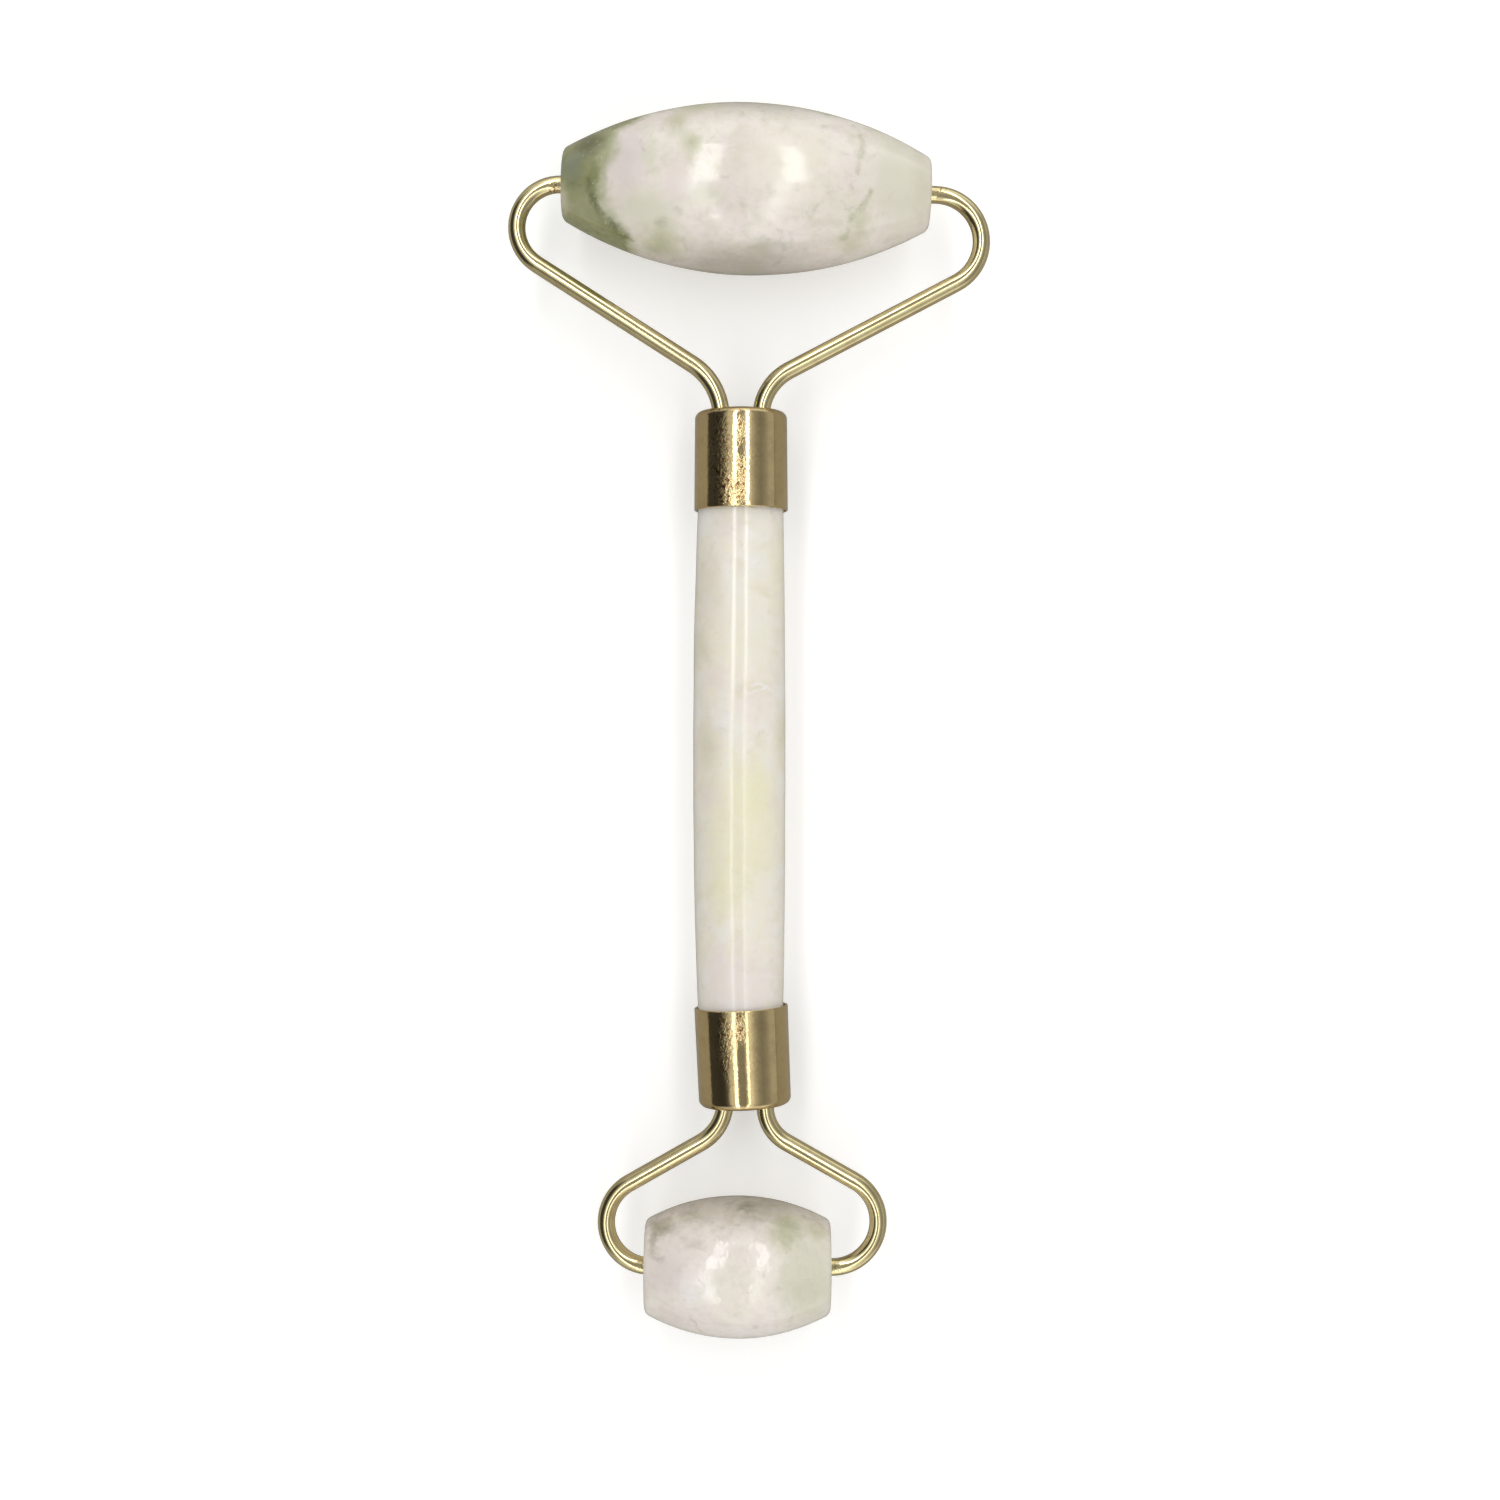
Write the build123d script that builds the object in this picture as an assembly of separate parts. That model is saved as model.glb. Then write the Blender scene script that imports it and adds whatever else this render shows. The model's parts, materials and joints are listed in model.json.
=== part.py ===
"""A double-ended jade face roller, lying on a table on its two stones.

Every end of the roller is drawn in its own frame: the origin is the middle of the ferrule's
mouth, +Y runs along the ferrule away from the handle, and Z is square to the flat wire fork.
Both ends are then set on the handle, and the whole roller is leaned so that both stones rest
on Z = 0. The large roller points along +Y.
"""
from build123d import *
from dataclasses import dataclass
import math
import os

# Handle: a slim jade bar, fattest in the middle, glued into a ferrule at each end
HANDLE_SHOWN_LENGTH = 58.2
HANDLE_TUCKED_LENGTH = 4.0
HANDLE_MIDDLE_RADIUS = 5.43
HANDLE_END_RADIUS = 4.92
HANDLE_END_CHAMFER = 0.4

# Ferrule: a drawn cup that widens a little towards its mouth
FERRULE_LENGTH = 11.6
FERRULE_CLOSED_RADIUS = 5.4
FERRULE_MOUTH_RADIUS = 5.5
FERRULE_WALL = 0.35
FERRULE_PLATE = 0.7
FERRULE_CORNER_RADIUS = 0.85
FERRULE_RIM_RADIUS = 0.14
GLUE_SET_BACK = 0.3

# Wire fork
WIRE_RADIUS = 1.02
LEG_SPACING = 4.7
HAIRPIN_DEPTH = 6.0
HAIRPIN_CORNER_RADIUS = 2.0
WIRE_HOLE_CLEARANCE = 0.08
WIRE_END_CHAMFER = 0.25
BRAZE_WIDTH = 0.55
BRAZE_HEIGHT = 0.7

# Stone bore and the nylon bushes pressed into both of its ends
BORE_RADIUS = 1.6
BORE_MOUTH_CHAMFER = 0.3
STONE_EDGE_RADIUS = 1.0
BUSH_SET_BACK = 1.2
BUSH_RUNNING_CLEARANCE = 0.06
BUSH_WALL_CHAMFER = 0.12
STUB_PAST_BUSH = 1.0


@dataclass
class Arm:
    """One hand-bent arm of a fork: side -1 or +1, its two bends and the slope between them."""
    side: int
    shoulder_height: float
    shoulder_radius: float
    slope: float
    elbow_radius: float


@dataclass
class RollerEnd:
    """The dimensions of one end, in its own frame."""
    name: str
    stone_radius: float
    stone_end_radius: float
    stone_length: float
    axle_height: float
    axle_shift: float
    axle_tilt: float
    bush_length: float
    arms: tuple
    bush_names: dict
    turn: float

    @property
    def mouth(self):
        """Where the ferrule's mouth sits on the handle, and how the end is turned there."""
        distance = math.copysign(HANDLE_SHOWN_LENGTH / 2, math.cos(math.radians(self.turn)))
        return Location((0, distance, 0), (0, 0, self.turn))

    @property
    def axle(self):
        """The stone's own frame: its middle, with X along the axle."""
        return Location((self.axle_shift, self.axle_height, 0), (0, 0, self.axle_tilt))

    @property
    def stub_reach(self):
        """From the stone's middle to the end of a wire stub."""
        return self.stone_length / 2 - BUSH_SET_BACK - self.bush_length - STUB_PAST_BUSH


LARGE = RollerEnd(
    name="large",
    stone_radius=9.88,
    stone_end_radius=4.1,
    stone_length=43.1,
    axle_height=37.8,
    axle_shift=0.63,
    axle_tilt=-1.6,
    bush_length=6.0,
    arms=(Arm(-1, 15.1, 7.4, 32.7, 5.1), Arm(1, 14.8, 6.2, 27.6, 5.5)),
    bush_names={-1: "left", 1: "right"},
    turn=0,
)

SMALL = RollerEnd(
    name="small",
    stone_radius=8.2,
    stone_end_radius=5.4,
    stone_length=21.75,
    axle_height=30.6,
    axle_shift=1.68,
    axle_tilt=-2.7,
    bush_length=4.5,
    arms=(Arm(-1, 14.8, 4.8, 32.0, 5.4), Arm(1, 14.3, 5.5, 27.1, 5.2)),
    bush_names={-1: "right", 1: "left"},
    turn=182.4,
)


def barrel(middle_radius, end_radius, length):
    """A solid barrel along X with an arc for its side."""
    half = length / 2
    side = ThreePointArc((-half, end_radius), (0, middle_radius), (half, end_radius))
    outline = Polyline((half, end_radius), (half, 0), (-half, 0), (-half, end_radius))
    return revolve(make_face([side, outline]), Axis.X)


def jade_handle():
    full_length = HANDLE_SHOWN_LENGTH + 2 * HANDLE_TUCKED_LENGTH
    bar = barrel(HANDLE_MIDDLE_RADIUS, HANDLE_END_RADIUS, full_length)
    end_edges = bar.edges().filter_by(GeomType.CIRCLE)
    bar = chamfer(end_edges, HANDLE_END_CHAMFER)
    return Rot(0, 0, 90) * bar


def ferrule_cup(growth=0.0, plate=0.0, corner=FERRULE_CORNER_RADIUS):
    """The ferrule's outer shape as a solid, or with a negative growth its inside."""
    closed = FERRULE_CLOSED_RADIUS + growth
    mouth = FERRULE_MOUTH_RADIUS + growth
    top = FERRULE_LENGTH - plate
    outline = Polyline((0, 0), (mouth, 0), (closed, top), (0, top), close=True)
    cup = revolve(make_face(outline), Axis.Y)
    closed_rim = cup.edges().filter_by(GeomType.CIRCLE).sort_by(Axis.Y)[-1]
    return fillet(closed_rim, corner)


def ferrule_inside():
    return ferrule_cup(-FERRULE_WALL, FERRULE_PLATE, FERRULE_CORNER_RADIUS - FERRULE_WALL)


def leg_holes():
    """The two holes that the fork's legs pass through in the ferrule's end plate."""
    hole = Cylinder(WIRE_RADIUS + WIRE_HOLE_CLEARANCE, 2 * FERRULE_PLATE, rotation=(90, 0, 0))
    places = [(side * LEG_SPACING / 2, FERRULE_LENGTH - FERRULE_PLATE / 2, 0) for side in (-1, 1)]
    return [Pos(*place) * hole for place in places]


def ferrule():
    cup = ferrule_cup() - ferrule_inside()
    mouth_rims = cup.edges().filter_by(GeomType.CIRCLE).group_by(Axis.Y)[0]
    cup = fillet(mouth_rims, FERRULE_RIM_RADIUS)
    return cup - leg_holes()


def elbow_corner(end, arm, shoulder):
    """Where an arm's slope, carried on, would meet the axle's line."""
    rise = math.radians(arm.slope)
    slope = Axis(shoulder, (arm.side * math.cos(rise), math.sin(rise), 0))
    axle = Axis(end.axle.position, end.axle.x_axis.direction)
    return slope.intersect(axle)


def wire_fork(end):
    """One wire from stub to stub: elbow, slope, shoulder and leg, a hairpin, and back."""
    left, right = end.arms
    corners = []
    for arm in (left, right):
        shoulder = Vector(arm.side * LEG_SPACING / 2, arm.shoulder_height, 0)
        hairpin = Vector(shoulder.X, FERRULE_LENGTH - HAIRPIN_DEPTH, 0)
        stub_end = (end.axle * Pos(arm.side * end.stub_reach, 0, 0)).position
        corners.append([stub_end, elbow_corner(end, arm, shoulder), shoulder, hairpin])
    points = corners[0] + corners[1][::-1]
    bends = [left.elbow_radius, left.shoulder_radius, HAIRPIN_CORNER_RADIUS]
    bends += [HAIRPIN_CORNER_RADIUS, right.shoulder_radius, right.elbow_radius]
    path = FilletPolyline(*points, radius=bends)
    section = Plane(origin=path @ 0, z_dir=path % 0) * Circle(WIRE_RADIUS)
    wire = sweep(section, path=path)
    stub_ends = wire.faces().filter_by(GeomType.PLANE).edges()
    return chamfer(stub_ends, WIRE_END_CHAMFER)


def fork_braze(fork):
    """A ring of braze around each leg, in the corner against the plate's inner face."""
    wide = WIRE_RADIUS + BRAZE_WIDTH
    middle_height = FERRULE_LENGTH - FERRULE_PLATE - BRAZE_HEIGHT / 2
    bead = Cone(wide, WIRE_RADIUS, BRAZE_HEIGHT, rotation=(90, 0, 0))
    beads = [Pos(side * LEG_SPACING / 2, middle_height, 0) * bead for side in (-1, 1)]
    return [bead - fork for bead in beads]


def epoxy(end, handle, fork, braze):
    """The adhesive that fills the ferrule around the hairpin and the handle's tucked end."""
    room = ferrule_inside() - Box(20, 2 * GLUE_SET_BACK, 20)
    handle_here = end.mouth.inverse() * handle
    return room - handle_here - fork - braze


def roller_stone(end):
    """A barrel of jade, bored through along its axle, in the stone's own frame."""
    stone = barrel(end.stone_radius, end.stone_end_radius, end.stone_length)
    stone = fillet(stone.edges().filter_by(GeomType.CIRCLE), STONE_EDGE_RADIUS)
    stone -= Cylinder(BORE_RADIUS, end.stone_length, rotation=(0, 90, 0))
    mouths = [edge for edge in stone.edges().filter_by(GeomType.CIRCLE)
              if abs(edge.radius - BORE_RADIUS) < 0.01]
    return chamfer(mouths, BORE_MOUTH_CHAMFER)


def bush(end, side):
    """A nylon sleeve in the bore, in the stone's own frame."""
    inner = WIRE_RADIUS + BUSH_RUNNING_CLEARANCE
    sleeve = Cylinder(BORE_RADIUS, end.bush_length) - Cylinder(inner, end.bush_length)
    sleeve = chamfer(sleeve.edges().filter_by(GeomType.CIRCLE), BUSH_WALL_CHAMFER)
    middle = end.stone_length / 2 - BUSH_SET_BACK - end.bush_length / 2
    return Pos(side * middle, 0, 0) * Rot(0, 90, 0) * sleeve


def end_nodes(end, handle):
    """Every piece of one end, by node name, placed on the handle."""
    fork = wire_fork(end)
    braze = fork_braze(fork)
    on_handle = {
        f"{end.name}_ferrule": ferrule(),
        f"{end.name}_wire_fork": fork,
        f"{end.name}_fork_braze": Compound(children=braze),
        f"{end.name}_ferrule_epoxy": epoxy(end, handle, fork, braze),
    }
    on_axle = {f"{end.name}_roller_stone": roller_stone(end)}
    for side, side_name in end.bush_names.items():
        on_axle[f"{end.name}_roller_bush_{side_name}"] = bush(end, side)
    nodes = {name: end.mouth * piece for name, piece in on_handle.items()}
    nodes.update({name: end.mouth * end.axle * piece for name, piece in on_axle.items()})
    return nodes


def resting_place():
    """Leans the roller about X until both stones touch the table."""
    large_y = (LARGE.mouth * LARGE.axle).position.Y
    small_y = (SMALL.mouth * SMALL.axle).position.Y
    lean = math.asin((LARGE.stone_radius - SMALL.stone_radius) / (large_y - small_y))
    lift = LARGE.stone_radius - large_y * math.sin(lean)
    return Location((0, 0, lift), (math.degrees(lean), 0, 0))


def main():
    handle = jade_handle()
    nodes = {"jade_handle": handle}
    nodes.update(end_nodes(LARGE, handle))
    nodes.update(end_nodes(SMALL, handle))

    leaned = resting_place()
    box = Compound(children=[leaned * piece for piece in nodes.values()]).bounding_box()
    middle = box.center()
    to_origin = Pos(-middle.X, -middle.Y, 0) * leaned

    os.makedirs("parts", exist_ok=True)
    for name, piece in nodes.items():
        export_step(to_origin * piece, f"parts/{name}.step")
    for end in (LARGE, SMALL):
        spindle = to_origin * end.mouth * end.axle
        direction = spindle.x_axis.direction
        print(end.name, "axle through", spindle.position, "along", direction)


main()
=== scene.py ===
"""Looks for the jade face roller: polished cloudy jade on champagne-gold wire forks and ferrules.

Lengths are in metres, apart from patterns in the stone, which are drawn in millimetres from the
middle of each piece.
"""

import json
import math

import bmesh
import bpy
from mathutils import Matrix, Vector, noise


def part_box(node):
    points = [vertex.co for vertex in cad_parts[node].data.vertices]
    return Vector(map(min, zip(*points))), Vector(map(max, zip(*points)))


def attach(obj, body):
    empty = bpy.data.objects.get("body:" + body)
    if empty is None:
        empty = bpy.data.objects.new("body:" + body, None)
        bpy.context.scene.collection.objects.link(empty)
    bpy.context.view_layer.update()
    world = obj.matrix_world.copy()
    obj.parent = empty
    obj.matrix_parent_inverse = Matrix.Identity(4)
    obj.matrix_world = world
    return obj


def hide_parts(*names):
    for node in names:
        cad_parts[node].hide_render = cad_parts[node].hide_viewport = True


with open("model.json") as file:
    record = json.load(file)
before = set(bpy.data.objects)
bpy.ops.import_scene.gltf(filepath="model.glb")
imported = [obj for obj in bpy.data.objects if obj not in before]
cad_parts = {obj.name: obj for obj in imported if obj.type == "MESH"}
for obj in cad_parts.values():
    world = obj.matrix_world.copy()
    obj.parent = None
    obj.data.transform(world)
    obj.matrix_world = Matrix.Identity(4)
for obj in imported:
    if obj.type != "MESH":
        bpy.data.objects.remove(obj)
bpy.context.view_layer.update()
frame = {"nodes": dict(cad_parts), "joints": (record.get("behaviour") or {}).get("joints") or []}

MM = 0.001

# Turned stone pieces
STONE_RINGS = 96
STONE_SEGMENTS = 128
STONE_EDGE_RADIUS = 1.0 * MM
STONE_EDGE_RINGS = 8
BORE_CHAMFER = 0.3 * MM
HANDLE_BOW = 0.22 * MM
HANDLE_END_CHAMFER = 0.4 * MM
HAND_CUT_DEPTH = 0.035 * MM
HAND_CUT_WIDTH = 6.0 * MM

# The lathe turns an outline round a thin rod and welds the seam and the poles
LATHE_ROD = 1.0 * MM
LATHE_WELD = 0.001 * MM

# Hand cutting starts at this share of the middle radius. The bore and the middles of the end faces
# stay as turned.
OUTSIDE_FROM = 0.4

# The stretch of a barrel's side, as shares of its half length, where its arc is measured
SIDE_FROM = 0.6
SIDE_TO = 0.85

# A distance in millimetres that is past every vein
VEIN_FAR = 100.0

# Each seed sees the noise from another place, this far on in millimetres
SEED_STEP = (17.3, -9.1, 5.7)

# How deep the bumps of each finish are
JADE_BUMP = 0.1 * MM
PLATE_BUMP = 0.08 * MM
INNER_BUMP = 0.05 * MM

# The torn border of the wide stone's green end, in millimetres: how far it lies towards -X from the
# stone's middle, how it slants, and how both its ends curl in and by how much at most
MOSS_BORDER = 16.9
MOSS_BORDER_SLANT = 0.05
MOSS_BORDER_CURL = 0.0018
MOSS_BORDER_CURL_MOST = 3.6

# Where the ferrules show wear, as stripes laid along the dark reflected band and the gap between the
# bright bands, so their bronze flecks also paint a brown tint into those reflections: middles and reaches
# in millimetres from each ferrule's middle
LARGE_CUP_WEAR_AND_REFLECTION_TINT = [
    ((0.0, -3.0, 5.4), (0.9, 5.0, 3.0)),
    ((-2.5, 0.0, 5.0), (1.6, 9.0, 3.5)),
    ((-1.6, -4.2, 5.2), (1.8, 2.8, 3.0)),
    ((0.0, 3.0, 5.4), (0.6, 3.0, 3.0)),
]
SMALL_CUP_WEAR_AND_REFLECTION_TINT = [
    ((-0.2, 3.6, 5.4), (0.9, 3.0, 3.0)),
    ((-2.2, 2.0, 5.0), (1.3, 6.0, 3.5)),
]
# How strongly each spot of wear comes through, and with it the bronze tint painted into the ferrules'
# reflections
WEAR_AND_TINT_STRENGTH = 0.9

# The wires are rubbed just outside the stones' ends, in millimetres
WIRE_RUB_BEYOND = 1.0
WIRE_RUB_REACH = (1.2, 1.2, 2.0)

# The camera looks straight down on one point of the forks' plane
CAMERA_DISTANCE = 0.260
CAMERA_LENS = 53.06
CAMERA_OVER = Vector((0.00011, -0.00343))
CAMERA_NEAREST = 0.01

# Pale paper floor. It glows more with distance, so that it meets the room without a line.
FLOOR_SIZE = 6.0
FLOOR_GLOW = 0.3
FLOOR_FADE_START = 0.35
FLOOR_FADE_END = 1.6

# How bright the room is at each angle from straight up, turning from left to right (degrees)
ROOM = [(-180, 0.28), (-114, 0.25), (-94, 0.12), (-86, 0.05), (-59, 0.04), (-48, 0.05), (-41, 0.12),
        (-33, 0.60), (-22, 0.65), (-11, 0.26), (4, 0.26), (11, 0.70), (20, 0.85), (28, 0.50),
        (38, 0.30), (50, 0.22), (62, 0.28), (75, 0.42), (124, 0.42), (180, 0.28)]
ROOM_STRENGTH = 1.15
ROOM_SEEN = 0.9

# The room is brighter past both ends of the roller: by how much, and how far along Y a direction
# points where the extra light starts and where it is full
ROOM_ENDS = 0.55
ROOM_ENDS_START = 0.5
ROOM_ENDS_FULL = 0.9

# Softboxes overhead: each has its two sides in degrees to the right of straight up, its two ends
# along Y in metres, and its radiance
LAMP_HEIGHT = 0.6
SOFTBOXES = {
    "far_left_softbox": ((-17.5, -9), (0.24, 0.72), 4.4),
    "far_right_softbox": ((14, 21), (0.24, 0.70), 3.6),
    "upper_left_softbox": ((-19, -10), (0.02, 0.24), 4.4),
    "upper_right_softbox": ((12.5, 19.5), (0.02, 0.24), 3.7),
    "middle_left_softbox": ((-22.5, -14.5), (-0.24, 0.02), 2.2),
    "middle_right_softbox": ((9.5, 15), (-0.24, 0.02), 1.8),
    "near_left_softbox": ((-22, -13), (-0.84, -0.24), 2.7),
    "near_right_softbox": ((7, 12.5), (-0.84, -0.24), 2.3),
}


# ---------------------------------------------------------------- node helpers

def srgb(red, green, blue):
    """A colour given as 0 to 255 screen values, made linear for a shader."""
    channels = []
    for value in (red, green, blue):
        share = value / 255
        channels.append(share / 12.92 if share <= 0.04045 else ((share + 0.055) / 1.055) ** 2.4)
    return (*channels, 1.0)


def add(tree, kind, inputs=None, **settings):
    """Adds a node. Settings are its properties, and inputs are values or the sockets that feed it."""
    node = tree.nodes.new(kind)
    for name, value in settings.items():
        setattr(node, name, value)
    for name, value in (inputs or {}).items():
        if isinstance(value, bpy.types.NodeSocket):
            tree.links.new(value, node.inputs[name])
        else:
            node.inputs[name].default_value = value
    return node


def calc(tree, operation, *values, clamp=False):
    """One step of arithmetic on numbers or sockets."""
    node = add(tree, "ShaderNodeMath", dict(enumerate(values)), operation=operation, use_clamp=clamp)
    return node.outputs[0]


def vector_calc(tree, operation, *values, scale=None):
    """One step of arithmetic on vectors. A length or a dot product comes out as a number."""
    inputs = dict(enumerate(values))
    if scale is not None:
        inputs["Scale"] = scale
    node = add(tree, "ShaderNodeVectorMath", inputs, operation=operation)
    return node.outputs["Value" if operation in ("LENGTH", "DOT_PRODUCT") else "Vector"]


def ramp(tree, value, start, end, low=0.0, high=1.0):
    """An eased step from low to high as the value goes from start to end."""
    inputs = {"Value": value, "From Min": start, "From Max": end, "To Min": low, "To Max": high}
    return add(tree, "ShaderNodeMapRange", inputs, interpolation_type="SMOOTHSTEP").outputs["Result"]


def blend_colours(tree, share, below, above):
    """Lays one colour over another by a share. The Mix node's colour sockets share names, so they
    are reached by number."""
    factor_socket, below_socket, above_socket, result_socket = 0, 6, 7, 2
    inputs = {factor_socket: share, below_socket: below, above_socket: above}
    return add(tree, "ShaderNodeMix", inputs, data_type="RGBA").outputs[result_socket]


def cloud_noise(tree, place, scale, detail=4.0, roughness=0.55, distortion=0.0):
    """Cloudy noise between 0 and 1."""
    inputs = {"Vector": place, "Scale": scale, "Detail": detail, "Roughness": roughness,
              "Distortion": distortion}
    return add(tree, "ShaderNodeTexNoise", inputs).outputs["Fac"]


def node_group(name, inputs, outputs, tree_kind="ShaderNodeTree"):
    """An empty node group with named sockets: returns it with its inner ends."""
    group = bpy.data.node_groups.new(name, tree_kind)
    for socket, kind, default in inputs:
        made = group.interface.new_socket(socket, in_out="INPUT", socket_type=f"NodeSocket{kind}")
        if default is not None:
            made.default_value = default
    for socket, kind in outputs:
        group.interface.new_socket(socket, in_out="OUTPUT", socket_type=f"NodeSocket{kind}")
    start = group.nodes.new("NodeGroupInput")
    end = group.nodes.new("NodeGroupOutput")
    return group, start.outputs, end.inputs


def place_group(tree, group, **inputs):
    """Places a shader node group, with its inputs given by their names in small letters."""
    named = {name.capitalize(): value for name, value in inputs.items()}
    return add(tree, "ShaderNodeGroup", named, node_tree=group).outputs


# ---------------------------------------------------------------- shared effects

def make_ragged():
    """Shakes a place about, so that whatever is drawn there gets a torn, crystalline edge."""
    group, given, out = node_group(
        "ragged place", [("Place", "Vector", (0, 0, 0)), ("Amount", "Float", 1.0)], [("Place", "Vector")])
    total = given["Place"]
    slow_to_fine = ((0.35, 2.6), (1.2, 1.5), (4.0, 0.5))
    for scale, reach in slow_to_fine:
        shake = add(group, "ShaderNodeTexNoise", {"Vector": given["Place"], "Scale": scale, "Detail": 3.0})
        centred = vector_calc(group, "SUBTRACT", shake.outputs["Color"], (0.5, 0.5, 0.5))
        far = calc(group, "MULTIPLY", given["Amount"], reach)
        total = vector_calc(group, "ADD", total, vector_calc(group, "SCALE", centred, scale=far))
    group.links.new(total, out["Place"])
    return group


def make_clouds():
    """Soft drifting clouds in the stone."""
    group, given, out = node_group(
        "stone clouds",
        [("Place", "Vector", (0, 0, 0)), ("Size", "Float", 6.0), ("Cover", "Float", 0.5),
         ("Softness", "Float", 0.12), ("Seed", "Float", 0.0)],
        [("Mask", "Float")])
    shift = vector_calc(group, "SCALE", SEED_STEP, scale=given["Seed"])
    moved = vector_calc(group, "ADD", given["Place"], shift)
    cloud = cloud_noise(group, moved, calc(group, "DIVIDE", 1.0, given["Size"]), 6.0, 0.6, 0.4)
    middle = calc(group, "SUBTRACT", 1.0, given["Cover"])
    start = calc(group, "SUBTRACT", middle, given["Softness"])
    end = calc(group, "ADD", middle, given["Softness"])
    group.links.new(ramp(group, cloud, start, end), out["Mask"])
    return group


def make_patch():
    """One patch of colour with a middle and a reach along each axis. Core is its solid share."""
    group, given, out = node_group(
        "stone patch",
        [("Place", "Vector", (0, 0, 0)), ("Middle", "Vector", (0, 0, 0)), ("Reach", "Vector", (5, 5, 5)),
         ("Core", "Float", 0.3)],
        [("Mask", "Float")])
    offset = vector_calc(group, "SUBTRACT", given["Place"], given["Middle"])
    distance = vector_calc(group, "LENGTH", vector_calc(group, "DIVIDE", offset, given["Reach"]))
    group.links.new(ramp(group, distance, 1.0, given["Core"]), out["Mask"])
    return group


def make_stroke():
    """The distance to a straight stroke of a vein, or to the strokes before it if they are nearer."""
    group, given, out = node_group(
        "vein stroke",
        [("Place", "Vector", (0, 0, 0)), ("Start", "Vector", (0, 0, 0)), ("End", "Vector", (1, 0, 0)),
         ("Before", "Float", VEIN_FAR)],
        [("Distance", "Float")])
    along = vector_calc(group, "SUBTRACT", given["End"], given["Start"])
    offset = vector_calc(group, "SUBTRACT", given["Place"], given["Start"])
    reach = calc(group, "DIVIDE", vector_calc(group, "DOT_PRODUCT", offset, along),
                 vector_calc(group, "DOT_PRODUCT", along, along), clamp=True)
    nearest = vector_calc(group, "SCALE", along, scale=reach)
    distance = vector_calc(group, "LENGTH", vector_calc(group, "SUBTRACT", offset, nearest))
    group.links.new(calc(group, "MINIMUM", distance, given["Before"]), out["Distance"])
    return group


def make_broken():
    """Turns a distance from a vein into its mask: thick in places and broken in others."""
    group, given, out = node_group(
        "broken vein",
        [("Place", "Vector", (0, 0, 0)), ("Distance", "Float", 1.0), ("Width", "Float", 0.3)],
        [("Mask", "Float")])
    near = ramp(group, calc(group, "DIVIDE", given["Distance"], given["Width"]), 1.0, 0.0)
    thick = ramp(group, cloud_noise(group, given["Place"], 0.9, 3.0), 0.30, 0.62, 0.15, 1.0)
    group.links.new(calc(group, "MULTIPLY", near, thick), out["Mask"])
    return group


def make_flecks():
    """Small scattered crystals."""
    group, given, out = node_group(
        "crystal flecks",
        [("Place", "Vector", (0, 0, 0)), ("Size", "Float", 0.5), ("Cover", "Float", 0.3)],
        [("Mask", "Float")])
    scale = calc(group, "DIVIDE", 1.0, given["Size"])
    cells = add(group, "ShaderNodeTexVoronoi", {"Vector": given["Place"], "Scale": scale})
    bead = ramp(group, cells.outputs["Distance"], 0.42, 0.12)
    level = add(group, "ShaderNodeSeparateColor", {"Color": cells.outputs["Color"]}).outputs["Red"]
    chosen = calc(group, "GREATER_THAN", given["Cover"], level)
    group.links.new(calc(group, "MULTIPLY", bead, chosen), out["Mask"])
    return group


def make_polish():
    """A hand-polished skin: faint flats and waves, with hairline marks and tiny pits."""
    group, given, out = node_group(
        "hand polish",
        [("Place", "Vector", (0, 0, 0)), ("Wave", "Float", 0.5), ("Ripple", "Float", 0.15),
         ("Gloss", "Float", 0.14)],
        [("Height", "Float"), ("Roughness", "Float")])
    wave = cloud_noise(group, given["Place"], 0.32, 2.0, 0.4)
    ripple = cloud_noise(group, given["Place"], 1.3, 2.0, 0.5)
    grain = cloud_noise(group, given["Place"], 5.0, 2.0, 0.5)
    pits = add(group, "ShaderNodeTexVoronoi", {"Vector": given["Place"], "Scale": 0.8}).outputs["Distance"]
    pit = ramp(group, pits, 0.06, 0.02)
    height = calc(group, "MULTIPLY", wave, given["Wave"])
    height = calc(group, "ADD", height, calc(group, "MULTIPLY", ripple, given["Ripple"]))
    height = calc(group, "ADD", height, calc(group, "MULTIPLY", grain, 0.012))
    height = calc(group, "SUBTRACT", height, calc(group, "MULTIPLY", pit, 0.02))
    group.links.new(height, out["Height"])
    dull = calc(group, "MULTIPLY", ramp(group, ripple, 0.35, 0.7), 0.08)
    rough = calc(group, "ADD", given["Gloss"], dull)
    group.links.new(calc(group, "ADD", rough, calc(group, "MULTIPLY", pit, 0.2)), out["Roughness"])
    return group


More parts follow.
